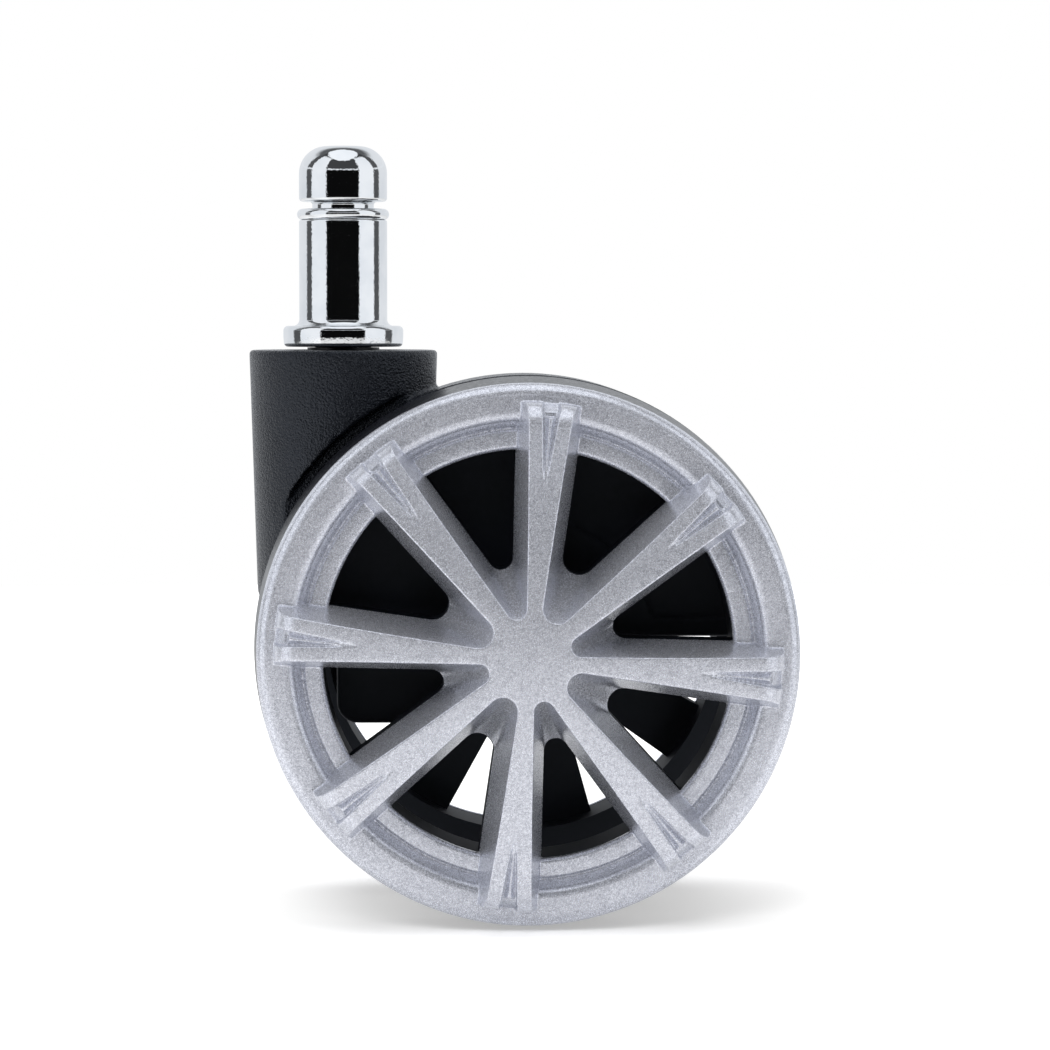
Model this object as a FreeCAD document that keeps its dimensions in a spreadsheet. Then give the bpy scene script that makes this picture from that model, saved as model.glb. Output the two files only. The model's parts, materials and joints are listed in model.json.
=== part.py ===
import FreeCAD, Part
import math
import os

import Sketcher

# Twin-wheel office chair castor with forked-spoke rims, in millimetres.
# +Z runs up along the stem. The origin is on the stem's axis, where its straight grip begins.
# +X points from the stem to the axle, and the axle lies along Y. Travelling stem first, the left wheel is at -Y.

SIZES = {
    # Stem, from the head down
    "head_height": 6.9,
    "head_round": 3.4,
    "head_edge": 1.0,
    "neck_radius": 3.85,
    "ring_height": 1.4,
    "ring_proud": 0.25,
    "ring_play": 0.15,
    "ring_headroom": 0.9,
    "ring_gap": 1.6,
    "grip_radius": 5.5,
    "grip_length": 12.4,
    "flare_height": 0.8,
    "flare_width": 0.7,
    "collar_radius": 7.5,
    "collar_height": 2.6,
    "collar_round": 0.6,
    "shank_radius": 3.5,
    "shank_length": 28.6,
    "shank_tip": 1.2,
    "shank_tail": 3.1,
    # Retaining rings
    "clip_thickness": 0.8,
    "clip_depth": 0.6,
    "clip_width": 1.4,
    "clip_mouth": 4.0,
    # Bush in the housing
    "bush_wall": 0.95,
    "bush_proud": 0.3,
    "running_gap": 0.05,
    "axial_gap": 0.1,
    "end_gap": 0.3,
    # Housing
    "barrel_radius": 11.75,
    "barrel_taper": 0.95,
    "barrel_floor": 2.9,
    "barrel_round": 1.3,
    "barrel_edge": 0.4,
    "axle_trail": 22.65,
    "axle_drop": 36.6,
    "web_thickness": 17.0,
    "hood_proud": 0.1,
    "hood_lip": 1.2,
    "boss_radius": 9.5,
    "tail_reach": 23.4,
    "tail_round": 2.6,
    "arch_gap": 1.2,
    "panel_depth": 0.7,
    "panel_margin": 2.4,
    "panel_inner": 16.0,
    # Axle
    "axle_radius": 3.0,
    "axle_end": 1.6,
    "axle_edge": 0.4,
    "washer_radius": 6.0,
    "washer_thickness": 0.5,
    # Wheel: tread and core
    "tread_radius": 33.5,
    "tread_depth": 4.0,
    "tread_round": 1.4,
    "tread_edge": 0.5,
    "core_width": 10.4,
    "core_wall": 1.5,
    "core_spoke_depth": 5.0,
    "core_play": 0.1,
    "hub_radius": 8.0,
    "hub_bush_wall": 1.4,
    # Spoke cover: rim, from the outside in
    "spigot_height": 1.0,
    "cover_inset": 0.65,
    "rim_height": 3.4,
    "rim_round": 1.6,
    "rim_width": 8.0,
    "slope_round": 1.05,
    "slope_drop": 0.55,
    "slope_width": 0.9,
    "groove_width": 0.35,
    "groove_depth": 0.45,
    "ledge_width": 2.2,
    "ledge_height": 1.4,
    "window_edge": 0.35,
    # Spoke cover: spokes. End widths are measured at the tread's radius
    "spoke_count": 8,
    "spoke_inset": 2.9,
    "spoke_end_round": 3.2,
    "dome_rise": 7.0,
    "dome_drop": 1.95,
    "broad_front_hub": 1.16,
    "broad_front_end": 4.2,
    "broad_front_tip": 1.75,
    "broad_back_hub": 4.9,
    "broad_back_end": 8.2,
    "broad_back_tip": 2.0,
    "slim_front_hub": 1.6,
    "slim_front_end": 5.9,
    "slim_front_tip": 1.2,
    "slim_back_hub": 4.9,
    "slim_back_end": 9.3,
    "slim_back_tip": 1.5,
    "slim_skew": 0.2,
    # Spoke cover: fork at each spoke's end
    "fork_length": 10.4,
    "fork_width": 2.5,
    "fork_floor": 1.9,
    "fork_offset": 0.3,
    "fork_sink": 0.05,
    "fork_nose": 0.4,
    "point_width": 0.1,
    "ridge_setback": 0.7,
    "ridge_top": 0.4,
    "ridge_drop": 0.45,
    "valley_drop": 1.25,
    "cup_radius": 1.1,
    "pocket_room": 1.8,
    # Rest angles of the two wheels about the axle, in degrees
    "left_turn": -5.55,
    "right_turn": -12.7,
}


class Size:
    """A number together with the expression that gives it from the sheet."""

    def __init__(self, value, text):
        self.value = value
        self.text = text

    @staticmethod
    def of(other):
        return other if isinstance(other, Size) else Size(float(other), repr(other))

    def __add__(self, other):
        other = Size.of(other)
        return Size(self.value + other.value, f"({self.text} + {other.text})")

    def __sub__(self, other):
        other = Size.of(other)
        return Size(self.value - other.value, f"({self.text} - {other.text})")

    def __mul__(self, other):
        other = Size.of(other)
        return Size(self.value * other.value, f"({self.text} * {other.text})")

    def __truediv__(self, other):
        other = Size.of(other)
        return Size(self.value / other.value, f"({self.text} / {other.text})")

    def __neg__(self):
        return Size(-self.value, f"(0 - {self.text})")


def sine(angle):
    return Size(math.sin(math.radians(angle.value)), f"sin({angle.text})")


def cosine(angle):
    return Size(math.cos(math.radians(angle.value)), f"cos({angle.text})")


def root(square):
    return Size(math.sqrt(square.value), f"sqrt({square.text})")


def arctangent(ratio):
    return Size(math.degrees(math.atan(ratio.value)), f"(atan({ratio.text}) / 1deg)")


doc = FreeCAD.newDocument("castor")
sheet = doc.addObject("Spreadsheet::Sheet", "sizes")
for row, (alias, number) in enumerate(SIZES.items(), start=1):
    sheet.set(f"A{row}", alias.replace("_", " "))
    sheet.set(f"B{row}", str(number))
    sheet.setAlias(f"B{row}", alias)
doc.recompute()

size = {alias: Size(float(number), f"sizes.{alias}") for alias, number in SIZES.items()}
ZERO = Size(0.0, "0")
pieces = []


def new_body(label):
    body = doc.addObject("PartDesign::Body", label)
    body.Label = label
    pieces.append(body)
    return body


def origin_feature(body, role):
    return next(item for item in body.Origin.OriginFeatures if item.Role == role)


def attach(sketch, body, plane, lift=None, turn=None):
    """Lays a sketch on one of its body's origin planes, lifted along the normal and turned about it."""
    sketch.AttachmentSupport = [(origin_feature(body, plane), "")]
    sketch.MapMode = "FlatFace"
    rotation = FreeCAD.Rotation(FreeCAD.Vector(0, 0, 1), turn.value if turn else 0)
    sketch.AttachmentOffset = FreeCAD.Placement(FreeCAD.Vector(0, 0, lift.value if lift else 0), rotation)
    if lift:
        sketch.setExpression("AttachmentOffset.Base.z", lift.text)
    if turn:
        sketch.setExpression("AttachmentOffset.Rotation.Angle", turn.text)


def swing_round(sketch, reach, swing):
    """Carries a sketch from the XY plane round the Y axis, square to a spoke and this far out along it."""
    x = reach * sine(swing)
    z = reach * cosine(swing)
    rotation = FreeCAD.Rotation(FreeCAD.Vector(0, 1, 0), swing.value)
    sketch.AttachmentOffset = FreeCAD.Placement(FreeCAD.Vector(x.value, 0, z.value), rotation)
    sketch.setExpression("AttachmentOffset.Base.x", x.text)
    sketch.setExpression("AttachmentOffset.Base.z", z.text)
    sketch.setExpression("AttachmentOffset.Rotation.Angle", swing.text)


def pin_point(sketch, geometry, position, x, y):
    """Fixes a sketch point at two sizes from the sketch's origin."""
    for kind, axis, coordinate in (("DistanceX", -2, x), ("DistanceY", -1, y)):
        if coordinate is ZERO:
            sketch.addConstraint(Sketcher.Constraint("PointOnObject", geometry, position, axis))
        else:
            held = Sketcher.Constraint(kind, -1, 1, geometry, position, coordinate.value)
            sketch.setExpression(f"Constraints[{sketch.addConstraint(held)}]", coordinate.text)


def arc_between(start, end, radius, left):
    """The shorter arc from start to end, with its centre on the left of the way or on the right."""
    middle = (start + end) / 2
    way = end - start
    rise = math.sqrt(max(radius * radius - way.Length * way.Length / 4, 0))
    side = FreeCAD.Vector(-way.y, way.x, 0).normalize() * (rise if left else -rise)
    centre = middle + side
    first, last = (start, end) if left else (end, start)
    angles = [math.atan2((point - centre).y, (point - centre).x) for point in (first, last)]
    return Part.ArcOfCircle(Part.Circle(centre, FreeCAD.Vector(0, 0, 1), radius), angles[0], angles[1])


def outline(body, name, plane, corners, lift=None, turn=None):
    """A closed sketch through the corners (x, y) or (x, y, radius, side).

    With a radius, the edge from that corner to the next is an arc, with its centre on the named side of the way.
    """
    sketch = body.newObject("Sketcher::SketchObject", name)
    attach(sketch, body, plane, lift, turn)
    points = [FreeCAD.Vector(corner[0].value, corner[1].value, 0) for corner in corners]
    starts = []
    ends = []
    for index, corner in enumerate(corners):
        start = points[index]
        end = points[(index + 1) % len(points)]
        if len(corner) == 2:
            edge = sketch.addGeometry(Part.LineSegment(start, end))
            starts.append((edge, 1))
            ends.append((edge, 2))
        else:
            left = corner[3] == "left"
            edge = sketch.addGeometry(arc_between(start, end, corner[2].value, left))
            starts.append((edge, 1 if left else 2))
            ends.append((edge, 2 if left else 1))
            bend = Sketcher.Constraint("Radius", edge, corner[2].value)
            sketch.setExpression(f"Constraints[{sketch.addConstraint(bend)}]", corner[2].text)
    for index, corner in enumerate(corners):
        sketch.addConstraint(Sketcher.Constraint("Coincident", *ends[index - 1], *starts[index]))
        pin_point(sketch, *starts[index], corner[0], corner[1])
    return sketch


def circle(body, name, plane, x, y, radius, lift=None):
    sketch = body.newObject("Sketcher::SketchObject", name)
    attach(sketch, body, plane, lift)
    centre = FreeCAD.Vector(x.value, y.value, 0)
    sketch.addGeometry(Part.Circle(centre, FreeCAD.Vector(0, 0, 1), radius.value))
    wide = sketch.addConstraint(Sketcher.Constraint("Radius", 0, radius.value))
    sketch.setExpression(f"Constraints[{wide}]", radius.text)
    pin_point(sketch, 0, 3, x, y)
    return sketch


def turned(body, name, sketch, cut=False, angle=360.0):
    """Revolves a sketch about its own upright axis, to add material or to cut it away."""
    feature = body.newObject("PartDesign::Groove" if cut else "PartDesign::Revolution", name)
    feature.Profile = sketch
    feature.ReferenceAxis = (sketch, ["V_Axis"])
    feature.Angle = angle
    sketch.Visibility = False
    return feature


def padded(body, name, sketch, length, midplane=False, backward=False):
    feature = body.newObject("PartDesign::Pad", name)
    feature.Profile = sketch
    feature.Length = length.value
    feature.setExpression("Length", length.text)
    feature.Midplane = midplane
    feature.Reversed = backward
    return feature


def pocketed(body, name, sketch, length=None, backward=False, midplane=False):
    """Cuts a sketch into the body, to a depth or through all of it."""
    feature = body.newObject("PartDesign::Pocket", name)
    feature.Profile = sketch
    if length is None:
        feature.Type = "ThroughAll"
    else:
        feature.Length = length.value
        feature.setExpression("Length", length.text)
    feature.Midplane = midplane
    feature.Reversed = backward
    return feature


def lofted(body, name, sections, cut):
    feature = body.newObject("PartDesign::SubtractiveLoft" if cut else "PartDesign::AdditiveLoft", name)
    feature.Profile = sections[0]
    feature.Sections = sections[1:]
    feature.Ruled = True
    return feature


def patterned(body, name, originals, count):
    """Repeats features evenly round the body's Y axis."""
    pattern = body.newObject("PartDesign::PolarPattern", name)
    pattern.Originals = originals
    pattern.Axis = (origin_feature(body, "Y_Axis"), [""])
    pattern.Angle = 360
    pattern.Occurrences = int(count.value)
    pattern.setExpression("Occurrences", count.text)
    body.Tip = pattern
    return pattern


# Places that several pieces share, measured from the origin or, for the wheels, from the axle's middle
seat_z = -size["flare_height"]
collar_bottom_z = seat_z - size["collar_height"]
barrel_top_z = collar_bottom_z - size["axial_gap"] - size["bush_proud"]
axle_z = barrel_top_z - size["axle_drop"]
ring_top_z = size["grip_length"] + size["ring_height"]
head_bottom_z = ring_top_z + size["ring_headroom"]
head_top_z = head_bottom_z + size["head_height"]
shank_end_z = collar_bottom_z - size["shank_length"]
clip_bottom_z = shank_end_z + size["shank_tail"]
clip_top_z = clip_bottom_z + size["clip_thickness"]
bush_bottom_z = clip_top_z + size["end_gap"]
bore_bottom_z = shank_end_z - size["end_gap"]
barrel_bottom_z = bore_bottom_z - size["barrel_floor"]
bore_radius = size["shank_radius"] + size["running_gap"] + size["bush_wall"]
web_half = size["web_thickness"] / 2
washer_outer = web_half + size["washer_thickness"]
wheel_inner = washer_outer + size["end_gap"]
cover_back = wheel_inner + size["core_width"]
tread_outer = cover_back + size["spigot_height"]
axle_clip_inner = cover_back + size["end_gap"]
axle_clip_outer = axle_clip_inner + size["clip_thickness"]
axle_clip_radius = size["axle_radius"] + size["clip_width"]
axle_half = axle_clip_outer + size["axle_end"]
core_radius = size["tread_radius"] - size["tread_depth"]
spigot_radius = core_radius - size["core_wall"]
cover_radius = size["tread_radius"] - size["cover_inset"]
window_radius = cover_radius - size["rim_width"]
running_radius = size["axle_radius"] + size["running_gap"]
hub_bore_radius = running_radius + size["hub_bush_wall"]
half_pitch = Size(180.0, "180") / size["spoke_count"]
WINDOWS = (("broad", half_pitch, ZERO), ("slim", -half_pitch, -size["slim_skew"]))


def make_stem():
    stem = new_body("stem")
    groove_radius = size["shank_radius"] - size["clip_depth"]
    collar_radius = size["collar_radius"]
    collar_round = size["collar_round"]
    flare_radius = size["grip_radius"] + size["flare_width"]
    head_radius = size["grip_radius"]
    tip = size["shank_tip"]
    corners = [
        (ZERO, shank_end_z),
        (size["shank_radius"] - tip, shank_end_z, tip, "left"),
        (size["shank_radius"], shank_end_z + tip),
        (size["shank_radius"], clip_bottom_z),
        (groove_radius, clip_bottom_z),
        (groove_radius, clip_top_z),
        (size["shank_radius"], clip_top_z),
        (size["shank_radius"], collar_bottom_z),
        (collar_radius - collar_round, collar_bottom_z, collar_round, "left"),
        (collar_radius, collar_bottom_z + collar_round),
        (collar_radius, seat_z - collar_round, collar_round, "left"),
        (collar_radius - collar_round, seat_z),
        (flare_radius, seat_z, size["flare_height"], "right"),
        (size["grip_radius"], ZERO),
        (size["grip_radius"], size["grip_length"]),
        (size["neck_radius"], size["grip_length"]),
        (size["neck_radius"], head_bottom_z),
        (head_radius - size["head_edge"], head_bottom_z, size["head_edge"], "left"),
        (head_radius, head_bottom_z + size["head_edge"]),
        (head_radius, head_top_z - size["head_round"], size["head_round"], "left"),
        (head_radius - size["head_round"], head_top_z),
        (ZERO, head_top_z),
    ]
    turned(stem, "stem_turning", outline(stem, "stem_section", "XZ_Plane", corners))


def ring_with_mouth(label, plane, inner, outer, bottom, top, mouth, edge=None):
    """A split ring about its body's upright axis, open towards the sketch's side at +Y."""
    ring = new_body(label)
    if edge is None:
        corners = [(inner, bottom), (outer, bottom), (outer, top), (inner, top)]
    else:
        corners = [
            (inner, bottom),
            (outer - edge, bottom, edge, "left"),
            (outer, bottom + edge),
            (outer, top - edge, edge, "left"),
            (outer - edge, top),
            (inner, top),
        ]
    turned(ring, label + "_turning", outline(ring, label + "_section", plane, corners))
    half = mouth / 2
    reach = outer + outer
    return ring, half, reach


def make_grip_ring():
    inner = size["neck_radius"] + size["ring_play"]
    outer = size["grip_radius"] + size["ring_proud"]
    edge = size["ring_height"] / 2.5
    ring, half, reach = ring_with_mouth(
        "grip_ring", "XZ_Plane", inner, outer, size["grip_length"], ring_top_z, size["ring_gap"], edge
    )
    mouth = [(-half, ZERO), (half, ZERO), (half, reach), (-half, reach)]
    pocketed(ring, "grip_ring_mouth", outline(ring, "grip_ring_slot", "XY_Plane", mouth), backward=True)


def make_stem_clip():
    inner = size["shank_radius"] - size["clip_depth"]
    outer = inner + size["clip_width"]
    clip, half, reach = ring_with_mouth(
        "stem_clip", "XZ_Plane", inner, outer, clip_bottom_z, clip_top_z, size["clip_mouth"]
    )
    mouth = [(-half, ZERO), (half, ZERO), (half, reach), (-half, reach)]
    slot = outline(clip, "stem_clip_slot", "XY_Plane", mouth)
    pocketed(clip, "stem_clip_mouth", slot)


def make_stem_bush():
    bush = new_body("stem_bush")
    inner = size["shank_radius"] + size["running_gap"]
    top = barrel_top_z + size["bush_proud"]
    corners = [(inner, bush_bottom_z), (bore_radius, bush_bottom_z), (bore_radius, top), (inner, top)]
    turned(bush, "bush_turning", outline(bush, "bush_section", "XZ_Plane", corners))


def make_housing():
    housing = new_body("housing")
    axle_x = size["axle_trail"]
    foot_radius = size["barrel_radius"] - size["barrel_taper"]
    round_ = size["barrel_round"]
    edge = size["barrel_edge"]
    barrel = [
        (ZERO, barrel_bottom_z),
        (foot_radius - round_, barrel_bottom_z, round_, "left"),
        (foot_radius, barrel_bottom_z + round_),
        (size["barrel_radius"], barrel_top_z - edge, edge, "left"),
        (size["barrel_radius"] - edge, barrel_top_z),
        (ZERO, barrel_top_z),
    ]
    turned(housing, "barrel", outline(housing, "barrel_section", "XZ_Plane", barrel))

    hood = size["tread_radius"] + size["hood_proud"]
    boss = size["boss_radius"]
    lip = size["hood_lip"]
    tail_x = axle_x - size["tail_reach"]
    tail_round = size["tail_round"]
    web = [
        (tail_x, axle_z - boss + tail_round, tail_round, "left"),
        (tail_x + tail_round, axle_z - boss),
        (axle_x, axle_z - boss, boss, "left"),
        (axle_x + root(boss * boss - lip * lip), axle_z + lip),
        (axle_x + root(hood * hood - lip * lip), axle_z + lip, hood, "left"),
        (ZERO, axle_z + root(hood * hood - axle_x * axle_x)),
        (tail_x, barrel_bottom_z + round_ + round_),
    ]
    web_sketch = outline(housing, "web_outline", "XZ_Plane", web)
    padded(housing, "web", web_sketch, size["web_thickness"], midplane=True)

    arch = size["tread_radius"] + size["arch_gap"]
    for side, lift, backward in (("left", web_half, True), ("right", -web_half, False)):
        arch_circle = circle(housing, side + "_arch_circle", "XZ_Plane", axle_x, axle_z, arch, lift)
        pocketed(housing, side + "_arch", arch_circle, backward=backward)
        inner = size["panel_inner"]
        outer = hood - size["panel_margin"]
        low = lip + size["panel_margin"]
        panel = [
            (axle_x + root(inner * inner - low * low), axle_z + low),
            (axle_x + root(outer * outer - low * low), axle_z + low, outer, "left"),
            (axle_x, axle_z + outer),
            (axle_x, axle_z + inner, inner, "right"),
        ]
        panel_sketch = outline(housing, side + "_panel_outline", "XZ_Plane", panel, lift)
        pocketed(housing, side + "_panel", panel_sketch, size["panel_depth"], backward=not backward)

    bore = [
        (ZERO, bore_bottom_z),
        (bore_radius, bore_bottom_z),
        (bore_radius, barrel_top_z + size["bush_proud"]),
        (ZERO, barrel_top_z + size["bush_proud"]),
    ]
    turned(housing, "stem_bore", outline(housing, "stem_bore_section", "XZ_Plane", bore), cut=True)
    axle_hole = circle(housing, "axle_hole_circle", "XZ_Plane", axle_x, axle_z, size["axle_radius"])
    pocketed(housing, "axle_hole", axle_hole, midplane=True)


def place_on_axle(body, side, turns=True):
    """Moves a piece made about the Y axis to the axle, with its outer side at -Y for left and +Y for right."""
    outward = 180.0 if side == "left" else 0.0
    facing = FreeCAD.Rotation(FreeCAD.Vector(0, 0, 1), outward)
    turn = size[side + "_turn"].value if turns else 0.0
    rotation = facing * FreeCAD.Rotation(FreeCAD.Vector(0, 1, 0), turn)
    body.Placement = FreeCAD.Placement(FreeCAD.Vector(size["axle_trail"].value, 0, axle_z.value), rotation)
    body.setExpression("Placement.Base.x", size["axle_trail"].text)
    body.setExpression("Placement.Base.z", axle_z.text)


def make_axle():
    axle = new_body("axle")
    radius = size["axle_radius"]
    edge = size["axle_edge"]
    groove = radius - size["clip_depth"]
    half_section = [
        (radius - edge, axle_half),
        (radius, axle_half - edge),
        (radius, axle_clip_outer),
        (groove, axle_clip_outer),
        (groove, axle_clip_inner),
        (radius, axle_clip_inner),
    ]
    mirrored = [(x, -y) for x, y in reversed(half_section)]
    corners = [(ZERO, -axle_half)] + list(reversed([(ZERO, axle_half)] + half_section + mirrored))
    turned(axle, "axle_turning", outline(axle, "axle_section", "XY_Plane", corners))
    place_on_axle(axle, "right", turns=False)


def make_axle_ring(side, label, inner, outer, near, far, mouth=None):
    ring = new_body(f"{side}_{label}")
    corners = [(inner, near), (outer, near), (outer, far), (inner, far)]
    turned(ring, label + "_turning", outline(ring, label + "_section", "XY_Plane", corners))
    if mouth:
        half = mouth / 2
        reach = outer + outer
        slot = [(-half, ZERO), (half, ZERO), (half, -reach), (-half, -reach)]
        pocketed(ring, label + "_mouth", outline(ring, label + "_slot", "XZ_Plane", slot), backward=False)
    place_on_axle(ring, side, turns=False)


def make_tread(side):
    tread = new_body(f"{side}_tread")
    outer = size["tread_radius"]
    round_ = size["tread_round"]
    edge = size["tread_edge"]
    corners = [
        (core_radius, wheel_inner),
        (outer - round_, wheel_inner, round_, "left"),
        (outer, wheel_inner + round_),
        (outer, tread_outer - edge, edge, "left"),
        (outer - edge, tread_outer),
        (core_radius, tread_outer),
    ]
    turned(tread, "tread_turning", outline(tread, "tread_section", "XY_Plane", corners))
    place_on_axle(tread, side)


def window_outline(body, kind, face, height, turn, skew):
    """The gap between two spokes at the cover's front or back face: a wedge with a rounded tip towards the hub.

    The hub and end sizes are the full widths, at the axle and at the tread's radius, of a spoke with such flanks.
    """
    hub_width = size[f"{kind}_{face}_hub"]
    end_width = size[f"{kind}_{face}_end"]
    tip = size[f"{kind}_{face}_tip"]
    reach = size["tread_radius"]
    splay = arctangent((end_width - hub_width) / 2 / reach)
    lean = half_pitch - splay
    tip_y = (tip + hub_width / 2 * cosine(splay)) / sine(lean)
    touch_x = tip * cosine(lean)
    touch_y = tip_y - tip * sine(lean)
    end_x = touch_x + (reach - touch_y) * sine(lean) / cosine(lean)
    corners = [
        (skew - touch_x, touch_y, tip, "left"),
        (skew + touch_x, touch_y),
        (end_x, reach),
        (-end_x, reach),
    ]
    return outline(body, f"{kind}_window_{face}", "XZ_Plane", corners, lift=-height, turn=turn)


def make_wheel_core(side):
    core = new_body(f"{side}_wheel_core")
    bore = hub_bore_radius
    spoke_back = cover_back - size["core_spoke_depth"]
    barrel_inner = window_radius + size["core_play"]
    overlap = (barrel_inner + core_radius) / 2
    spider = [
        (bore, wheel_inner),
        (size["hub_radius"], wheel_inner),
        (size["hub_radius"], spoke_back),
        (overlap, spoke_back),
        (overlap, cover_back),
        (bore, cover_back),
    ]
    turned(core, "spider", outline(core, "spider_section", "XY_Plane", spider))
    cuts = []
    for kind, turn, skew in WINDOWS:
        window = window_outline(core, kind, "back", cover_back, turn, skew)
        cuts.append(pocketed(core, f"{kind}_window", window, size["core_spoke_depth"], backward=True))
    patterned(core, "windows", cuts, size["spoke_count"] / 2)
    counterbore = spigot_radius + size["core_play"]
    barrel = [
        (barrel_inner, wheel_inner),
        (core_radius, wheel_inner),
        (core_radius, tread_outer),
        (counterbore, tread_outer),
        (counterbore, cover_back),
        (barrel_inner, cover_back),
    ]
    turned(core, "core_barrel", outline(core, "core_barrel_section", "XY_Plane", barrel))
    place_on_axle(core, side)


def make_spoke_cover(side):
    cover = new_body(f"{side}_spoke_cover")
    rim_face = cover_back + size["rim_height"]
    hub_face = rim_face + size["dome_rise"]
    spoke_reach = size["tread_radius"] - size["spoke_inset"]
    end_round = size["spoke_end_round"]
    shoulder_radius = spoke_reach - end_round
    shoulder = hub_face - size["dome_drop"]
    dome = shoulder_radius * shoulder_radius / size["dome_drop"] / 2 + size["dome_drop"] / 2
    blank = [
        (ZERO, cover_back),
        (spigot_radius, cover_back),
        (spigot_radius, tread_outer),
        (spoke_reach, tread_outer),
        (spoke_reach, shoulder - end_round, end_round, "left"),
        (shoulder_radius, shoulder, dome, "left"),
        (ZERO, hub_face),
    ]
    turned(cover, "star_blank", outline(cover, "star_section", "XY_Plane", blank))

    # The spokes' flanks lean outwards to the back, so each window is a loft between two wedges
    cuts = []
    for kind, turn, skew in WINDOWS:
        front = window_outline(cover, kind, "front", hub_face, turn, skew)
        back = window_outline(cover, kind, "back", cover_back, turn, skew)
        cuts.append(lofted(cover, f"{kind}_window", [front, back], cut=True))
    patterned(cover, "windows", cuts, size["spoke_count"] / 2)

    # Fork: a wedge is cut into each spoke's outer end and filled again with a low tapering roof, whose two
    # valleys run along the prongs. A round cup ends the roof, so that the rim's flat face runs in between them.
    # The spokes' faces lie a little beside their axes, by turns to either side, and the forks with them
    apex = spoke_reach - size["fork_length"]
    apex_face = hub_face - apex * apex / dome / 2
    fork_floor = rim_face - size["fork_sink"]
    above = hub_face + size["dome_drop"]
    point = size["point_width"] / 2
    nose = size["fork_nose"] / 2
    ridge_reach = spoke_reach - size["ridge_setback"]
    ridge_face = hub_face - ridge_reach * ridge_reach / dome / 2 - size["ridge_drop"]
    valley_face = ridge_face + size["ridge_drop"] - size["valley_drop"]
    ridge_half = size["fork_width"] / 2
    ridge_top = size["ridge_top"] / 2
    spoke_pitch = half_pitch + half_pitch
    for name, swing, offset in (("fork", ZERO, size["fork_offset"]), ("next_fork", spoke_pitch, -size["fork_offset"])):
        fork_end = [
            (offset - size["fork_floor"] / 2, fork_floor),
            (offset + size["fork_floor"] / 2, fork_floor),
            (offset + size["fork_width"] / 2, above),
            (offset - size["fork_width"] / 2, above),
        ]
        fork_apex = [
            (offset - point, apex_face),
            (offset + point, apex_face),
            (offset + nose, above),
            (offset - nose, above),
        ]
        ridge_end = [
            (offset - ridge_half, tread_outer),
            (offset + ridge_half, tread_outer),
            (offset + ridge_half, valley_face),
            (offset + ridge_top, ridge_face),
            (offset - ridge_top, ridge_face),
            (offset - ridge_half, valley_face),
        ]
        ridge_apex = [
            (offset - point, tread_outer),
            (offset + point, tread_outer),
            (offset + point, rim_face),
            (offset + point / 2, apex_face),
            (offset - point / 2, apex_face),
            (offset - point, rim_face),
        ]
        lofts = []
        for part, end, end_reach, tip, cut in (
            ("wedge", fork_end, spoke_reach, fork_apex, True),
            ("ridge", ridge_end, ridge_reach, ridge_apex, False),
        ):
            sections = []
            for place, corners, reach in (("end", end, end_reach), ("tip", tip, apex)):
                sketch = outline(cover, f"{name}_{part}_{place}", "XY_Plane", corners)
                swing_round(sketch, reach, swing)
                sections.append(sketch)
            lofts.append(lofted(cover, f"{name}_{part}", sections, cut))
        cup_x = offset * cosine(swing) + ridge_reach * sine(swing)
        cup_z = ridge_reach * cosine(swing) - offset * sine(swing)
        cup_circle = circle(cover, f"{name}_cup_circle", "XZ_Plane", cup_x, cup_z, size["cup_radius"], -fork_floor)
        cup = pocketed(cover, f"{name}_cup", cup_circle, above - fork_floor)
        patterned(cover, f"{name}s", lofts + [cup], size["spoke_count"] / 2)

    ledge_face = cover_back + size["ledge_height"]
    ledge_radius = window_radius + size["ledge_width"]
    groove_radius = ledge_radius + size["groove_width"]
    slope_radius = groove_radius + size["slope_width"]
    slope_square = size["slope_round"] * size["slope_round"] + size["slope_drop"] * size["slope_drop"]
    slope_bend = slope_square / size["slope_drop"] / 2
    rim = [
        (window_radius, cover_back),
        (spigot_radius, cover_back),
        (spigot_radius, tread_outer),
        (cover_radius, tread_outer),
        (cover_radius, rim_face - size["rim_round"], size["rim_round"], "left"),
        (cover_radius - size["rim_round"], rim_face),
        (slope_radius + size["slope_round"], rim_face, slope_bend, "left"),
        (slope_radius, rim_face - size["slope_drop"]),
        (groove_radius, ledge_face - size["groove_depth"]),
        (ledge_radius, ledge_face),
        (window_radius + size["window_edge"], ledge_face),
        (window_radius, ledge_face - size["window_edge"]),
    ]
    turned(cover, "rim", outline(cover, "rim_section", "XY_Plane", rim))
    pocket_radius = axle_clip_radius + size["pocket_room"]
    pocket = circle(cover, "back_circle", "XZ_Plane", ZERO, ZERO, pocket_radius, -cover_back)
    pocketed(cover, "back_pocket", pocket, axle_half - cover_back + size["pocket_room"])
    place_on_axle(cover, side)


make_stem()
make_grip_ring()
make_stem_clip()
make_stem_bush()
make_housing()
make_axle()
for side in ("left", "right"):
    make_wheel_core(side)
    make_tread(side)
    make_spoke_cover(side)
    make_axle_ring(side, "hub_bush", running_radius, hub_bore_radius, wheel_inner, cover_back)
    make_axle_ring(side, "washer", running_radius, size["washer_radius"], web_half, washer_outer)
    clip_bottom_radius = size["axle_radius"] - size["clip_depth"]
    make_axle_ring(
        side,
        "axle_clip",
        clip_bottom_radius,
        axle_clip_radius,
        axle_clip_inner,
        axle_clip_outer,
        size["clip_mouth"],
    )
doc.recompute()

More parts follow.
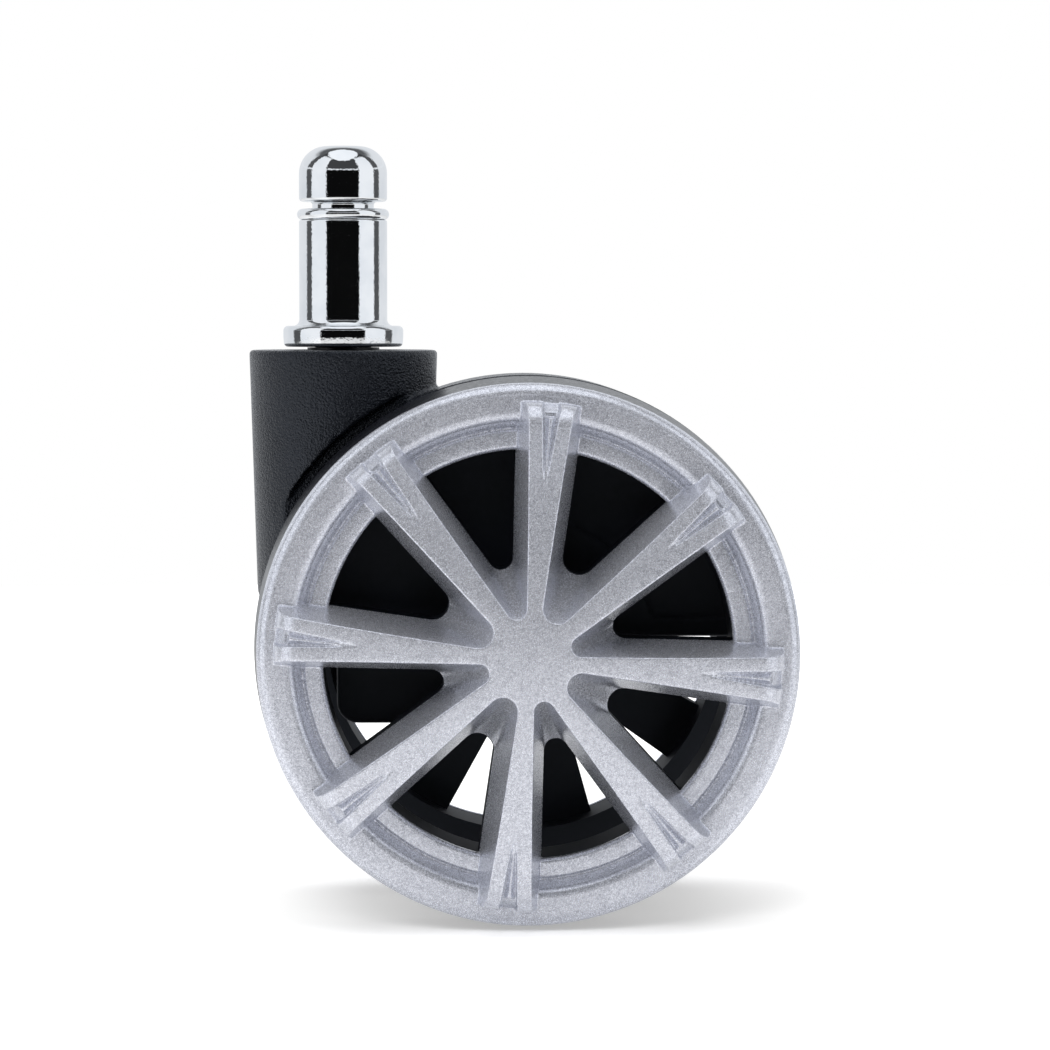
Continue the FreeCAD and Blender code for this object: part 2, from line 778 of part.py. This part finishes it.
faults = [item.Label for item in doc.Objects if {"Invalid", "Error"} & set(item.State)]
if faults:
    raise RuntimeError(f"these objects failed: {faults}")
os.makedirs("parts", exist_ok=True)
for piece in pieces:
    shape = piece.Shape
    if shape.isNull() or not shape.isValid() or not shape.Solids:
        raise RuntimeError(f"{piece.Label} has no valid solid")
    shape.exportStep(f"parts/{piece.Label}.step")
    print(f"{piece.Label}: {len(shape.Solids)} solid, {shape.Volume:.1f} mm3")
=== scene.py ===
import json
import math

import bmesh
import bpy
from mathutils import Matrix, Vector


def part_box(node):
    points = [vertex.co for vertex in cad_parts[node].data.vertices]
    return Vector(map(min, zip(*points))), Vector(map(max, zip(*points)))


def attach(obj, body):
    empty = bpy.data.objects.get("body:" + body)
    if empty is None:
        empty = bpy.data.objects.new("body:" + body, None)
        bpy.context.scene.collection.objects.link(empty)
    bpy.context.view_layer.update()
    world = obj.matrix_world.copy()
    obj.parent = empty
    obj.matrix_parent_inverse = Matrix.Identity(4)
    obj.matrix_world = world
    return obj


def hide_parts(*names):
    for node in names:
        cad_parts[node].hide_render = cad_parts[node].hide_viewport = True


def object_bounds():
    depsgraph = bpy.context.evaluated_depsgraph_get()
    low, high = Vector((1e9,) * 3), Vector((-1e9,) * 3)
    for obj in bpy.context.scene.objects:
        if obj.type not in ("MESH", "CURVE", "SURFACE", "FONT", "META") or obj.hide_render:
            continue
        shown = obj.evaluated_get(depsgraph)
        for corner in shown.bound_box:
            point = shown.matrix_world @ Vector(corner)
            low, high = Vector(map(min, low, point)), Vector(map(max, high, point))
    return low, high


# Twin-wheel office chair castor, dressed for rendering. Lengths are in metres.
# +Z runs up along the stem, +X from the stem to the axle, and the left wheel faces the camera at -Y.

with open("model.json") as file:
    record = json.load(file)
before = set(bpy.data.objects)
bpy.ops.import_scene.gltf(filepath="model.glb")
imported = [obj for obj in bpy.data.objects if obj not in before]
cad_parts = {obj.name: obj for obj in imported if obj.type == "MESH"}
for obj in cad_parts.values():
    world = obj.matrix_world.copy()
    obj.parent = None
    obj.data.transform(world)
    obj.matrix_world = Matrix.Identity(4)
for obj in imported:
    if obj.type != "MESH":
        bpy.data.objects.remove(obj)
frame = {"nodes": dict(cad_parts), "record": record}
nodes = frame["nodes"]
cad_low, cad_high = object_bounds()
MM = 0.001

# Camera of the photograph
LOOK_AT = Vector((22.75, 0.0, -25.8)) * MM
CAMERA_AZIMUTH = math.radians(-1.45)
CAMERA_ELEVATION = math.radians(2.95)
CAMERA_DISTANCE = 520.0 * MM
SENSOR_WIDTH = 36.0
FOCAL_LENGTH = 141.9

# Stem, in millimetres from the frame's origin
GRIP_RADIUS = 5.5
GRIP_TOP = 12.4
RING_TOP = 13.8
NECK_RADIUS = 3.85
HEAD_BOTTOM = 14.7
HEAD_ROUND = 3.4
COLLAR_RADIUS = 7.5
COLLAR_TOP = -0.8
COLLAR_WAIST = -2.15
COLLAR_BOTTOM = -3.4
COLLAR_TAPER = 0.09
FLARE = 0.8
SHANK_RADIUS = 3.5
RING_RADIUS = 5.75
RING_MOUTH = 1.6

# Spoke covers, in millimetres from the axle: the spokes' domed faces and the forks in their ends
AXLE_X = 22.65
AXLE_Z = -40.4
HUB_FACE = 30.1
RIM_FACE = 23.1
DOME_RADIUS = 193.5
SHOULDER_REACH = 27.4
SHOULDER_ROUND = 3.2
FORK_APEX = 20.2
RIDGE_END = 28.8
FORK_END = 30.55
# The cup at a fork's end: its floor's height over the rim's face, the length of the slope at its end,
# and the reaches at which it is drawn
CUP_RISE = 1.7
CUP_SLOPE = 1.1
CUP_STATIONS = (29.45, 29.8, 30.2)
# Grooves of the forks: each value where the fork begins, and how much it has grown where the ridge ends
GROOVE_HALF = (0.2, 0.9)
RIDGE_DEPTH = (0.05, 0.3)
VALLEY_DEPTH = (0.35, 0.85)
GROOVE_STEPS = 16
# Where the groove's points lie across it, as shares of its half width
GROOVE_COLUMNS = (-1.15, -1.0, -0.6, -0.2, 0.0, 0.2, 0.6, 1.0, 1.15)
# How far below the rim's face the fills of the forks go
FILL_FOOT = 0.8
# For each wheel, the first fork's turn about the axle in degrees, and how far it lies beside its spoke
FORKS = {"left": (-5.55, 0.3), "right": (12.7, -0.3)}

# Treads, in millimetres: their inner radius, and how much narrower they are at their outer edge
TREAD_INSIDE = 29.5
TREAD_FALL = 0.68

# Parts of a full turn in turned pieces
SEGMENTS = 192

FLOOR_RADIUS = 0.62
# How far from the object its shiny surfaces see the paper, which fades out between the two
PAPER_FADE = (0.4, 0.6)

# How copies of moulded nodes are softened: voxel size in metres, smoothing passes, most triangles
COVER_MOULDING = (0.00012, 3, 197000)
HOUSING_MOULDING = (0.0003, 4, 190000)

# Paint flakes, in metres
FLAKE = 0.0001
COARSE_FLAKE = 0.00016

# Black nylon is smooth near the axle and textured beyond, changing between these reaches in metres
TEXTURED_REACH = (0.0305, 0.0325)
SMOOTH_ROUGHNESS = 0.62

# The studio that shiny surfaces see. Each edge is soft, between two angles in degrees:
# away from the camera's side for upright edges, above the floor for level ones
PANEL_NEAR = (42.0, 45.0)
PANEL_FAR = (88.0, 91.0)
PANEL_TOP = (56.0, 62.0)
BACKDROP_NEAR = (106.0, 112.0)
BACKDROP_TOP = (38.0, 56.0)
LINE_BOTTOM = (11.0, 12.0)
LINE_TOP = (14.5, 17.0)
# The oval light above: half sizes and shift towards the camera, on a plane one unit up
OVAL_HALF_X = 0.47
OVAL_HALF_Y = 0.64
OVAL_SHIFT = 0.17
ROOM_DARK = 0.004
SOFT_LIGHT = 0.48

# Lamps: place, width and height in metres, and watts
LAMPS = {
    "light_above": ((0.02, 0.05, 0.75), 0.9, 0.7, 4.8),
    "light_left": ((-0.65, -0.45, 0.25), 0.5, 0.7, 1.8),
    "light_right": ((0.7, -0.5, 0.3), 0.5, 0.7, 1.3),
    "light_front": ((-0.13, -0.68, 0.42), 0.3, 0.3, 2.35),
}


# Nodes of materials and the world

def add(tree, kind, inputs=None, **settings):
    """A new node with its settings and inputs; an input is a number, a colour, or another node's output."""
    node = tree.nodes.new(kind)
    for key, value in settings.items():
        setattr(node, key, value)
    for key, value in (inputs or {}).items():
        if isinstance(value, bpy.types.NodeSocket):
            tree.links.new(value, node.inputs[key])
        else:
            node.inputs[key].default_value = value
    return node


def grey(value):
    return (value, value, value, 1.0)


def math_node(tree, operation, *values):
    return add(tree, "ShaderNodeMath", dict(enumerate(values)), operation=operation).outputs[0]


def times(tree, first, second):
    return math_node(tree, "MULTIPLY", first, second)


def ramp(tree, value, low, high, start=0.0, end=1.0):
    """Rises smoothly from start to end while the value goes from low to high."""
    inputs = {"Value": value, "From Min": low, "From Max": high, "To Min": start, "To Max": end}
    return add(tree, "ShaderNodeMapRange", inputs, interpolation_type="SMOOTHSTEP").outputs[0]


def position(tree):
    return add(tree, "ShaderNodeTexCoord").outputs["Object"]


def noise(tree, scale, detail=2.0):
    inputs = {"Vector": position(tree), "Scale": scale, "Detail": detail, "Roughness": 0.5}
    return add(tree, "ShaderNodeTexNoise", inputs).outputs["Fac"]


def cells(tree, size):
    """Random colours in cells of this width."""
    inputs = {"Vector": position(tree), "Scale": 1.0 / size}
    return add(tree, "ShaderNodeTexVoronoi", inputs).outputs["Color"]


def new_material(name):
    material = bpy.data.materials.new(name)
    material.use_nodes = True
    tree = material.node_tree
    tree.nodes.clear()
    shader = add(tree, "ShaderNodeBsdfPrincipled")
    out = add(tree, "ShaderNodeOutputMaterial")
    tree.links.new(shader.outputs[0], out.inputs["Surface"])
    return material, tree, shader


def set_shader(tree, shader, **inputs):
    for key, value in inputs.items():
        socket = shader.inputs[key.replace("_", " ")]
        if isinstance(value, bpy.types.NodeSocket):
            tree.links.new(value, socket)
        else:
            socket.default_value = value


def colour_between(tree, factor, first, second):
    node = add(tree, "ShaderNodeMix", {"Factor": factor}, data_type="RGBA")
    node.inputs["A"].default_value = first
    node.inputs["B"].default_value = second
    return node.outputs["Result"]


def bumped(tree, height, distance, strength, normal=None):
    inputs = {"Height": height, "Distance": distance, "Strength": strength}
    if normal:
        inputs["Normal"] = normal
    return add(tree, "ShaderNodeBump", inputs).outputs[0]


def silver_paint():
    """Metallic paint with fine flakes that catch the light singly, on a slightly uneven moulding."""
    material, tree, shader = new_material("silver_paint")
    flake = add(tree, "ShaderNodeSeparateColor", {"Color": cells(tree, FLAKE)})
    coarse = add(tree, "ShaderNodeSeparateColor", {"Color": cells(tree, COARSE_FLAKE)})
    grain = math_node(tree, "ADD", times(tree, flake.outputs[0], 0.6), times(tree, coarse.outputs[0], 0.4))
    tone = ramp(tree, grain, 0.1, 0.9)
    colour = colour_between(tree, tone, (0.46, 0.473, 0.53, 1), (0.84, 0.86, 0.935, 1))
    rough = ramp(tree, flake.outputs[1], 0.0, 1.0, 0.18, 0.31)
    normal = bumped(tree, grain, 0.00002, 0.6, bumped(tree, noise(tree, 260.0), 0.00006, 0.3))
    set_shader(tree, shader, Base_Color=colour, Roughness=rough, Normal=normal)
    set_shader(tree, shader, Metallic=0.71, Specular_IOR_Level=0.5)
    return material


def chrome():
    """Bright chrome plate on turned steel, with faint lap marks."""
    material, tree, shader = new_material("chrome")
    marks = noise(tree, 900.0, 3.0)
    tone = ramp(tree, noise(tree, 300.0), 0.3, 0.7)
    colour = colour_between(tree, tone, (0.80, 0.82, 0.84, 1), (0.88, 0.89, 0.9, 1))
    rough = ramp(tree, marks, 0.3, 0.8, 0.035, 0.075)
    set_shader(tree, shader, Base_Color=colour, Roughness=rough, Metallic=1.0)
    peel = bumped(tree, noise(tree, 3300.0, 1.0), 0.000008, 1.0)
    set_shader(tree, shader, Normal=bumped(tree, marks, 0.000004, 0.5, peel))
    return material


def textured_nylon():
    """Black moulded nylon: a fine leathery texture with a satin sheen, dull and smooth round the axle."""
    material, tree, shader = new_material("black_nylon")
    pits = noise(tree, 3800.0, 1.0)
    patches = noise(tree, 120.0)
    x, y, z = add(tree, "ShaderNodeSeparateXYZ", {"Vector": position(tree)}).outputs
    across = math_node(tree, "POWER", math_node(tree, "SUBTRACT", x, AXLE_X * MM), 2.0)
    upright = math_node(tree, "POWER", math_node(tree, "SUBTRACT", z, AXLE_Z * MM), 2.0)
    reach = math_node(tree, "SQRT", math_node(tree, "ADD", across, upright))
    outside = ramp(tree, reach, *TEXTURED_REACH)
    tone = ramp(tree, patches, 0.3, 0.7)
    colour = colour_between(tree, tone, (0.002, 0.0026, 0.004, 1), (0.004, 0.0048, 0.0072, 1))
    sheen = ramp(tree, pits, 0.25, 0.75, 0.2, 0.33)
    smoother = times(tree, outside, math_node(tree, "SUBTRACT", SMOOTH_ROUGHNESS, sheen))
    rough = math_node(tree, "SUBTRACT", SMOOTH_ROUGHNESS, smoother)
    height = times(tree, pits, outside)
    normal = bumped(tree, height, 0.0002, 0.9, bumped(tree, noise(tree, 1100.0), 0.00005, 0.3))
    set_shader(tree, shader, Base_Color=colour, Roughness=rough, Normal=normal)
    set_shader(tree, shader, Specular_IOR_Level=0.5, Specular_Tint=(0.82, 0.88, 1.0, 1))
    return material


def smooth_plastic(name, dark, light, low, high):
    """Smooth moulded plastic with slight unevenness in tone and gloss, which is rough from low to high."""
    material, tree, shader = new_material(name)
    patches = noise(tree, 180.0, 3.0)
    fine = noise(tree, 1800.0)
    colour = colour_between(tree, ramp(tree, patches, 0.3, 0.7), dark, light)
    set_shader(tree, shader, Base_Color=colour, Roughness=ramp(tree, fine, 0.3, 0.7, low, high))
    set_shader(tree, shader, Normal=bumped(tree, fine, 0.00001, 0.4))
    return material


def plain_metal(name, dark, light, low, high):
    """Bare metal with fine marks, rough from low to high."""
    material, tree, shader = new_material(name)
    marks = noise(tree, 1400.0, 3.0)
    colour = colour_between(tree, ramp(tree, marks, 0.3, 0.7), dark, light)
    rough = ramp(tree, marks, 0.3, 0.7, low, high)
    set_shader(tree, shader, Base_Color=colour, Metallic=1.0, Roughness=rough)
    return material


MATERIALS = {
    "silver_paint": silver_paint(),
    "chrome": chrome(),
    "black_nylon": textured_nylon(),
    "black_tread": smooth_plastic(
        "black_tread", (0.006, 0.0065, 0.009, 1), (0.01, 0.0105, 0.014, 1), 0.26, 0.36),
    "bush_plastic": smooth_plastic(
        "bush_plastic", (0.005, 0.0055, 0.007, 1), (0.009, 0.0095, 0.012, 1), 0.3, 0.42),
    "steel": plain_metal("steel", (0.5, 0.51, 0.53, 1), (0.62, 0.63, 0.65, 1), 0.2, 0.34),
    "spring_steel": plain_metal("spring_steel", (0.2, 0.2, 0.21, 1), (0.3, 0.3, 0.31, 1), 0.3, 0.45),
}
SLOTS = {part["node"]: part["material_slot"] for part in frame["record"]["subparts"]}
MEMBERS = frame["record"]["behaviour"]["bodies"]
BODIES = {node: body for body, members in MEMBERS.items() for node in members}


# Pieces

def paint(obj, slot):
    obj.data.materials.clear()
    obj.data.materials.append(MATERIALS[slot])


def dress(obj, node):
    """A finished piece stands for a node, rides on its body and takes its finish."""
    paint(obj, SLOTS[node])
    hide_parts(node)
    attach(obj, BODIES[node])


def apply_modifiers(obj):
    depsgraph = bpy.context.evaluated_depsgraph_get()
    mesh = bpy.data.meshes.new_from_object(obj.evaluated_get(depsgraph), depsgraph=depsgraph)
    obj.modifiers.clear()
    obj.data = mesh


def prong_face(reach):
    """How far from the wheels' middle plane the domed faces of the spokes lie, at a reach from the axle."""
    dome = HUB_FACE - DOME_RADIUS
    if reach < SHOULDER_REACH:
        return dome + math.sqrt(DOME_RADIUS ** 2 - reach ** 2)
    shoulder = dome + math.sqrt(DOME_RADIUS ** 2 - SHOULDER_REACH ** 2)
    beyond = min(reach - SHOULDER_REACH, SHOULDER_ROUND)
    return shoulder - SHOULDER_ROUND + math.sqrt(SHOULDER_ROUND ** 2 - beyond ** 2)


def grown(start_and_growth, share):
    """A groove's value at a share of its length."""
    start, growth = start_and_growth
    return start + growth * share


def fill_forks(mesh, side):
    """Fills each fork up to a shallow groove: two valleys, a low ridge between them, and a cup at the end."""
    first, beside = FORKS[side]
    outward = -1 if side == "left" else 1
    step = (RIDGE_END - FORK_APEX) / GROOVE_STEPS
    stations = [FORK_APEX + step * index for index in range(GROOVE_STEPS + 1)]
    stations += [RIDGE_END + 0.1, *CUP_STATIONS, FORK_END]
    bm = bmesh.new()
    bm.from_mesh(mesh)
    fills = []
    for count in range(8):
        turn = math.radians(first + 45 * count)
        offset = beside if count % 2 == 0 else -beside
        top, bottom = [], []
        for along in stations:
            share = min((along - FORK_APEX) / (RIDGE_END - FORK_APEX), 1.0)
            half = grown(GROOVE_HALF, share)
            for column in GROOVE_COLUMNS:
                aside = offset + half * column
                depth = grown(RIDGE_DEPTH, share) + grown(VALLEY_DEPTH, share) * min(abs(column), 1.0)
                x = AXLE_X + along * math.cos(turn) - aside * math.sin(turn)
                z = AXLE_Z + along * math.sin(turn) + aside * math.cos(turn)
                out = prong_face(math.hypot(along, aside)) - depth
                if along > RIDGE_END:
                    out = RIM_FACE + CUP_RISE * min((FORK_END - along) / CUP_SLOPE, 1.0)
                top.append(bm.verts.new(Vector((x, outward * out, z)) * MM))
                bottom.append(bm.verts.new(Vector((x, outward * (RIM_FACE - FILL_FOOT), z)) * MM))
        rows, columns = len(stations), len(GROOVE_COLUMNS)
        for grid in (top, bottom):
            for row in range(rows - 1):
                for column in range(columns - 1):
                    corner = row * columns + column
                    quad = (corner, corner + 1, corner + columns + 1, corner + columns)
                    fills.append(bm.faces.new([grid[index] for index in quad]))
        border = list(range(columns)) + [row * columns + columns - 1 for row in range(1, rows)]
        border += [(rows - 1) * columns + column for column in range(columns - 2, -1, -1)]
        border += [row * columns for row in range(rows - 2, 0, -1)]
        for here, there in zip(border, border[1:] + border[:1]):
            fills.append(bm.faces.new((top[here], top[there], bottom[there], bottom[here])))
    bmesh.ops.recalc_face_normals(bm, faces=fills)
    bm.to_mesh(mesh)
    bm.free()


def moulded(node, voxel, passes, most):
    """A copy of a node with edges softened as a mould leaves them: voxels, smoothing, fewer triangles."""
    obj = bpy.data.objects.new(node + "_moulding", nodes[node].data.copy())
    bpy.context.scene.collection.objects.link(obj)
    if node.endswith("_spoke_cover"):
        fill_forks(obj.data, node.split("_")[0])
    remesh = obj.modifiers.new("voxels", "REMESH")
    remesh.mode = "VOXEL"
    remesh.voxel_size = voxel
    smooth = obj.modifiers.new("soften", "SMOOTH")
    smooth.factor = 0.5
    smooth.iterations = passes
    apply_modifiers(obj)
    triangles = 2 * len(obj.data.polygons)
    if triangles > most:
        decimate = obj.modifiers.new("fewer", "DECIMATE")
        decimate.ratio = most / triangles
        apply_modifiers(obj)
    for polygon in obj.data.polygons:
        polygon.use_smooth = True
    dress(obj, node)


def rounded(corners, steps):
    """A profile through corners (radius, height, fillet), with each fillet drawn as an arc."""
    points = []
    for index, (r, z, fillet) in enumerate(corners):
        here = Vector((r, z))
        if fillet <= 0 or index in (0, len(corners) - 1):
            points.append(here)
            continue
        before = (Vector(corners[index - 1][:2]) - here).normalized()
        after = (Vector(corners[index + 1][:2]) - here).normalized()
        half = before.angle(after) / 2
        inset = fillet / math.tan(half)
        centre = here + (before + after).normalized() * (fillet / math.sin(half))
        first = here + before * inset - centre
        last = here + after * inset - centre
        sweep = first.angle_signed(last)
        for step in range(steps + 1):
            turn = -sweep * step / steps
            cosine, sine = math.cos(turn), math.sin(turn)
            arm = Vector((first.x * cosine - first.y * sine, first.x * sine + first.y * cosine))
            points.append(centre + arm)
    return points


def lathe(name, profile, closed=False, mouth=0.0):
    """Spins a profile in millimetres about Z, where the stem is. A mouth is the width of a gap in it."""
    mesh = bpy.data.meshes.new(name)
    bm = bmesh.new()
    gap = math.asin(mouth / 2 / max(point.x for point in profile)) if mouth else 0.0
    columns = SEGMENTS + (1 if mouth else 0)
    rings = []
    for column in range(columns):
        angle = math.pi / 2 + gap + (2 * math.pi - 2 * gap) * column / SEGMENTS
        ring = []
        for point in profile:
            x = point.x * math.cos(angle)
            y = point.x * math.sin(angle)
            ring.append(bm.verts.new(Vector((x, y, point.y)) * MM))
        rings.append(ring)
    last = len(profile) if closed else len(profile) - 1
    for column in range(SEGMENTS):
        here, there = rings[column], rings[(column + 1) % columns]
        for index in range(last):
            following = (index + 1) % len(profile)
            bm.faces.new((here[index], there[index], there[following], here[following]))
    if mouth:
        bm.faces.new(rings[0])
        bm.faces.new(reversed(rings[-1]))
    bmesh.ops.remove_doubles(bm, verts=bm.verts, dist=1e-7)
    bmesh.ops.recalc_face_normals(bm, faces=bm.faces)
    bm.to_mesh(mesh)
    bm.free()
    mesh.set_sharp_from_angle(angle=math.radians(35))
    obj = bpy.data.objects.new(name, mesh)
    bpy.context.scene.collection.objects.link(obj)
    weighted = obj.modifiers.new("even_shading", "WEIGHTED_NORMAL")
    weighted.keep_sharp = True
    return obj


def make_stem():
    low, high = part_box("stem")
    bottom, top = low.z / MM, high.z / MM
    corners = [
        (0.0, top, 0),
        (GRIP_RADIUS, top, HEAD_ROUND),
        (GRIP_RADIUS, HEAD_BOTTOM, 0.45),
        (NECK_RADIUS, HEAD_BOTTOM, 0.5),
        (NECK_RADIUS, GRIP_TOP, 0.1),
        (GRIP_RADIUS, GRIP_TOP, 0.22),
        (GRIP_RADIUS, COLLAR_TOP, FLARE),
        (COLLAR_RADIUS, COLLAR_TOP, 0.6),
        (COLLAR_RADIUS, COLLAR_WAIST, 3.0),
        (COLLAR_RADIUS - COLLAR_TAPER, COLLAR_BOTTOM, 0.5),
        (SHANK_RADIUS, COLLAR_BOTTOM, 0.1),
        (SHANK_RADIUS, bottom, 1.0),
        (0.0, bottom, 0),
    ]
    stem = lathe("stem_turning", rounded(corners, 12))
    dress(stem, "stem")


def make_grip_ring():
    """The split spring ring, rolled from wire that is rounded outside and flat inside."""
    inner = NECK_RADIUS + 0.15
    corners = [
        (inner, GRIP_TOP, 0),
        (inner, RING_TOP, 0.2),
        (RING_RADIUS, RING_TOP, 0.68),
        (RING_RADIUS, GRIP_TOP, 0.68),
        (inner, GRIP_TOP, 0),
    ]
    profile = rounded(corners, 12)[:-1]
    dress(lathe("grip_ring_wire", profile, closed=True, mouth=RING_MOUTH), "grip_ring")


def make_tread(side):
    """A crowned tread. Seen from the front its edge stays behind the rim of the spoke cover."""
    low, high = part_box(side + "_tread")
    radius = (high.x - low.x) / 2 / MM
    inner, outer = sorted((abs(low.y) / MM, abs(high.y) / MM))
    corners = [
        (TREAD_INSIDE, inner, 0),
        (TREAD_INSIDE, outer, 0.1),
        (radius - TREAD_FALL, outer, 0.7),
        (radius, inner + 2.2, 5.0),
        (radius - 0.05, inner, 0.9),
        (TREAD_INSIDE, inner, 0),
    ]
    tread = lathe(side + "_tread_ring", rounded(corners, 10)[:-1], closed=True)
    quarter = 90 if side == "left" else -90
    place = Matrix.Translation(Vector((AXLE_X, 0, AXLE_Z)) * MM)
    tread.data.transform(place @ Matrix.Rotation(math.radians(quarter), 4, "X"))
    dress(tread, side + "_tread")


make_stem()
make_grip_ring()
for side in ("left", "right"):
    make_tread(side)
    moulded(side + "_spoke_cover", *COVER_MOULDING)
moulded("housing", *HOUSING_MOULDING)
for name, node in nodes.items():
    if not node.hide_render:
        paint(node, SLOTS[name])


# Studio

def disc(name, radius, z):
    bm = bmesh.new()
    bmesh.ops.create_circle(bm, cap_ends=True, segments=128, radius=radius)
    mesh = bpy.data.meshes.new(name)
    bm.to_mesh(mesh)
    bm.free()
    obj = bpy.data.objects.new(name, mesh)
    obj.location = (LOOK_AT.x, 0, z)
    bpy.context.scene.collection.objects.link(obj)
    return obj


def floor_material():
    """White paper: it takes the object's soft shadow, and the camera sees the rest of it as white.

    Shiny surfaces see the paper only near the object, and beyond it the studio. Near the object the paper
    also glows for them alone, a painted reflection of light.
    """
    material, tree, shader = new_material("white_paper")
    path = add(tree, "ShaderNodeLightPath")
    away = add(tree, "ShaderNodeVectorMath", {0: position(tree)}, operation="LENGTH").outputs["Value"]
    seen = times(tree, path.outputs["Is Camera Ray"], ramp(tree, away, 0.1, 0.3, 0.4, 1.0))
    # Painted light: near the object the paper glows for shiny surfaces only, a painted reflection that
    # brightens the lower sides of the rims and the collar
    near = times(tree, path.outputs["Is Glossy Ray"], ramp(tree, away, 0.08, 0.2, 0.23, 0.0))
    seen = math_node(tree, "MAXIMUM", seen, near)
    colour = colour_between(tree, noise(tree, 40.0), grey(0.78), grey(0.8))
    set_shader(tree, shader, Base_Color=colour, Roughness=0.9, Specular_IOR_Level=0.0)
    set_shader(tree, shader, Emission_Color=grey(1.0), Emission_Strength=seen)
    beyond = times(tree, path.outputs["Is Glossy Ray"], ramp(tree, away, *PAPER_FADE, 0.25, 1.0))
    clear = add(tree, "ShaderNodeBsdfTransparent")
    mix = add(tree, "ShaderNodeMixShader", {0: beyond, 1: shader.outputs[0], 2: clear.outputs[0]})
    tree.links.new(mix.outputs[0], tree.nodes["Material Output"].inputs["Surface"])
    return material


floor = disc("floor", FLOOR_RADIUS, cad_low.z - 0.00002)
floor.data.materials.append(floor_material())


def make_world():
    """A white studio. Shiny surfaces see its parts: a dark camera side, white panels, a light above."""
    world = bpy.data.worlds.new("studio")
    bpy.context.scene.world = world
    world.use_nodes = True
    tree = world.node_tree
    tree.nodes.clear()
    generated = add(tree, "ShaderNodeTexCoord").outputs["Generated"]
    x, y, z = add(tree, "ShaderNodeSeparateXYZ", {"Vector": generated}).outputs
    # Degrees away from the camera's side, and above the floor
    turn = math_node(tree, "ARCTAN2", x, times(tree, y, -1.0))
    aside = times(tree, math_node(tree, "ABSOLUTE", turn), 180 / math.pi)
    above = times(tree, math_node(tree, "ARCSINE", z), 180 / math.pi)
    panel = times(tree, ramp(tree, aside, *PANEL_NEAR), ramp(tree, aside, *PANEL_FAR, 1.0, 0.1))
    panel = times(tree, panel, ramp(tree, above, *PANEL_TOP, 1.0, 0.0))
    backdrop = times(tree, ramp(tree, aside, *BACKDROP_NEAR), ramp(tree, above, *BACKDROP_TOP, 0.86, 0.12))
    line = times(tree, ramp(tree, above, *LINE_BOTTOM), ramp(tree, above, *LINE_TOP, 0.9, 0.06))
    height = math_node(tree, "MAXIMUM", z, 0.05)
    top_x = math_node(tree, "DIVIDE", math_node(tree, "DIVIDE", x, height), OVAL_HALF_X)
    shifted = math_node(tree, "ADD", math_node(tree, "DIVIDE", y, height), OVAL_SHIFT)
    top_y = math_node(tree, "DIVIDE", shifted, OVAL_HALF_Y)
    squares = [math_node(tree, "POWER", value, 2.0) for value in (top_x, top_y)]
    room = ramp(tree, math_node(tree, "ADD", *squares), 0.85, 1.15, 1.1, 0.0)
    for part in (panel, backdrop, line, ROOM_DARK):
        room = math_node(tree, "MAXIMUM", room, part)
    path = add(tree, "ShaderNodeLightPath")
    soft = times(tree, path.outputs["Is Diffuse Ray"], SOFT_LIGHT)
    glossy = times(tree, path.outputs["Is Glossy Ray"], room)
    seen = math_node(tree, "MAXIMUM", path.outputs["Is Camera Ray"], path.outputs["Is Transmission Ray"])
    level = math_node(tree, "ADD", math_node(tree, "ADD", soft, glossy), seen)
    tint = colour_between(tree, path.outputs["Is Glossy Ray"], grey(1.0), (0.93, 0.96, 1.0, 1.0))
    background = add(tree, "ShaderNodeBackground", {"Color": tint, "Strength": level})
    out = add(tree, "ShaderNodeOutputWorld")
    tree.links.new(background.outputs[0], out.inputs["Surface"])


def area_light(name, place, width, height, watts):
    """A lamp that faces the object. Shiny surfaces see the world's panels in its place."""
    data = bpy.data.lights.new(name, "AREA")
    data.shape = "RECTANGLE"
    data.size = width
    data.size_y = height
    data.energy = watts
    light = bpy.data.objects.new(name, data)
    light.location = place
    light.rotation_euler = (light.location - LOOK_AT).to_track_quat("Z", "Y").to_euler()
    light.visible_glossy = False
    bpy.context.scene.collection.objects.link(light)


make_world()
for name, lamp in LAMPS.items():
    area_light(name, *lamp)

back = Vector((
    math.sin(CAMERA_AZIMUTH) * math.cos(CAMERA_ELEVATION),
    -math.cos(CAMERA_AZIMUTH) * math.cos(CAMERA_ELEVATION),
    math.sin(CAMERA_ELEVATION),
))
lens = bpy.data.cameras.new("camera")
lens.sensor_width = SENSOR_WIDTH
lens.lens = FOCAL_LENGTH
lens.clip_start = 0.01
camera = bpy.data.objects.new("camera", lens)
camera.location = LOOK_AT + back * CAMERA_DISTANCE
camera.rotation_euler = back.to_track_quat("Z", "Y").to_euler()
bpy.context.scene.collection.objects.link(camera)
bpy.context.scene.camera = camera
bpy.context.scene.view_settings.view_transform = "Standard"
